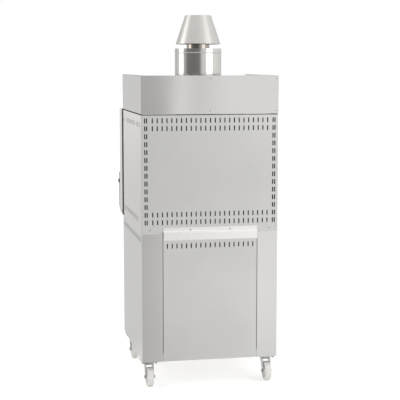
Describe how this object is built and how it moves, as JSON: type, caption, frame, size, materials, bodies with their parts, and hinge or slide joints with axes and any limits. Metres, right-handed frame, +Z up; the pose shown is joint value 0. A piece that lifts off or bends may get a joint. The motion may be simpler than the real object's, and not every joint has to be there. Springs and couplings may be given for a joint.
{
  "type": "charcoal oven",
  "caption": "Free-standing stainless charcoal oven: vented casing with a drop-down front door, open top surround, capped flue, and a cabinet on swivel castors.",
  "frame": {"origin": "on the floor, in the middle of the whole object's length and width, wheels on the floor", "axes": "+Z up, -Y towards the user in front of the oven door, +X to that user's right; the rear face looks along +Y"},
  "size_m": [0.725, 0.9456, 1.927],
  "materials": {
    "brushed_sheet": "fine vertical brushing, semi-gloss",
    "polished_tube": "polished stainless",
    "satin_hat": "satin",
    "dark_frame": "matt heat-proof paint",
    "firebox_steel": "bare plate, heat-darkened",
    "cast_grate": "rough cast",
    "fire_brick": "matt",
    "fibre_board": "fibrous board",
    "seal_rope": "woven",
    "rod_steel": "drawn rod",
    "handle_steel": "satin tube",
    "black_plastic": "matt",
    "zinc": "zinc plated pressing",
    "wheel_nylon": "off-white moulding",
    "needle_red": "satin",
    "glass": "clear"
  },
  "bodies": {
    "oven": {"rear_casing": "brushed_sheet", "side_casing_left": "brushed_sheet", "side_casing_right": "brushed_sheet", "roof": "brushed_sheet", "base_frame": "dark_frame", "mouth_frame": "dark_frame", "hinge_brackets": "dark_frame", "joint_cover": "brushed_sheet", "firebox": "firebox_steel", "insulation": "fibre_board", "fire_bricks": "fire_brick", "grid_racks": "firebox_steel", "charcoal_grate": "cast_grate", "ash_pan": "firebox_steel", "lower_grid": "rod_steel", "upper_grid": "rod_steel", "flue_pipe": "polished_tube", "flue_sleeve": "polished_tube", "flue_spider": "brushed_sheet", "hat": "satin_hat", "shroud_rear": "brushed_sheet", "shroud_left": "brushed_sheet", "shroud_right": "brushed_sheet", "cabinet_side_left": "brushed_sheet", "cabinet_side_right": "brushed_sheet", "cabinet_rear_panel": "brushed_sheet", "cabinet_floor": "brushed_sheet", "cabinet_top": "brushed_sheet", "cabinet_fascia": "brushed_sheet", "cabinet_hinges": "zinc", "castor_plates": "zinc"},
    "damper": {"damper_disc": "firebox_steel", "damper_shaft": "rod_steel"},
    "oven_door": {"door_outer": "brushed_sheet", "door_inner": "firebox_steel", "door_insulation": "fibre_board", "door_gasket": "seal_rope", "hinge_pins": "zinc", "handle_bar": "handle_steel", "handle_caps": "black_plastic", "handle_brackets": "brushed_sheet", "thermometer_case": "polished_tube", "thermometer_glass": "glass"},
    "needle": {"thermometer_needle": "needle_red"},
    "slider": {"air_slider": "brushed_sheet"},
    "left_door": {"cabinet_door_left": "brushed_sheet", "door_pull_left": "handle_steel"},
    "right_door": {"cabinet_door_right": "brushed_sheet", "door_pull_right": "handle_steel"},
    "swivel_front_left": {"fork_front_left": "zinc"},
    "swivel_front_right": {"fork_front_right": "zinc"},
    "swivel_rear_left": {"fork_rear_left": "zinc"},
    "swivel_rear_right": {"fork_rear_right": "zinc"},
    "roller_front_left": {"wheel_front_left": "wheel_nylon"},
    "roller_front_right": {"wheel_front_right": "wheel_nylon"},
    "roller_rear_left": {"wheel_rear_left": "wheel_nylon"},
    "roller_rear_right": {"wheel_rear_right": "wheel_nylon"},
    "pedal_front_left": {"brake_front_left": "zinc"},
    "pedal_front_right": {"brake_front_right": "zinc"}
  },
  "joints": [
    {"name": "oven_door_hinge", "type": "hinge", "parent": "oven", "child": "oven_door", "pos_m": [0, -0.32375, 0.823], "axis": [1, 0, 0], "range_deg": [0, 90]},
    {"name": "thermometer_spindle", "type": "hinge", "parent": "oven_door", "child": "needle", "pos_m": [0, -0.42725, 1.228], "axis": [0, 1, 0], "range_deg": [0, 270], "stiffness_Nm_per_rad": 0.002},
    {"name": "damper_spindle", "type": "hinge", "parent": "oven", "child": "damper", "pos_m": [0, 0.12725, 1.509], "axis": [0, 1, 0], "range_deg": [0, 90]},
    {"name": "air_slide", "type": "slide", "parent": "oven", "child": "slider", "axis": [1, 0, 0], "range_m": [0, 0.014]},
    {"name": "left_door_hinge", "type": "hinge", "parent": "oven", "child": "left_door", "pos_m": [-0.3435, -0.26875, 0.4], "axis": [0, 0, -1], "range_deg": [0, 100]},
    {"name": "right_door_hinge", "type": "hinge", "parent": "oven", "child": "right_door", "pos_m": [0.3435, -0.26875, 0.4], "axis": [0, 0, 1], "range_deg": [0, 100]},
    {"name": "front_left_swivel", "type": "hinge", "parent": "oven", "child": "swivel_front_left", "pos_m": [-0.314, -0.20475, 0.12], "axis": [0, 0, 1], "continuous": true},
    {"name": "front_right_swivel", "type": "hinge", "parent": "oven", "child": "swivel_front_right", "pos_m": [0.314, -0.20475, 0.12], "axis": [0, 0, 1], "continuous": true},
    {"name": "rear_left_swivel", "type": "hinge", "parent": "oven", "child": "swivel_rear_left", "pos_m": [-0.314, 0.38725, 0.12], "axis": [0, 0, 1], "continuous": true},
    {"name": "rear_right_swivel", "type": "hinge", "parent": "oven", "child": "swivel_rear_right", "pos_m": [0.314, 0.38725, 0.12], "axis": [0, 0, 1], "continuous": true},
    {"name": "front_left_axle", "type": "hinge", "parent": "swivel_front_left", "child": "roller_front_left", "pos_m": [-0.314, -0.17475, 0.05], "axis": [1, 0, 0], "continuous": true},
    {"name": "front_right_axle", "type": "hinge", "parent": "swivel_front_right", "child": "roller_front_right", "pos_m": [0.314, -0.17475, 0.05], "axis": [1, 0, 0], "continuous": true},
    {"name": "rear_left_axle", "type": "hinge", "parent": "swivel_rear_left", "child": "roller_rear_left", "pos_m": [-0.314, 0.41725, 0.05], "axis": [1, 0, 0], "continuous": true},
    {"name": "rear_right_axle", "type": "hinge", "parent": "swivel_rear_right", "child": "roller_rear_right", "pos_m": [0.314, 0.41725, 0.05], "axis": [1, 0, 0], "continuous": true},
    {"name": "front_left_brake", "type": "hinge", "parent": "swivel_front_left", "child": "pedal_front_left", "pos_m": [-0.314, -0.14275, 0.103], "axis": [1, 0, 0], "range_deg": [0, 20]},
    {"name": "front_right_brake", "type": "hinge", "parent": "swivel_front_right", "child": "pedal_front_right", "pos_m": [0.314, -0.14275, 0.103], "axis": [1, 0, 0], "range_deg": [0, 20]}
  ]
}
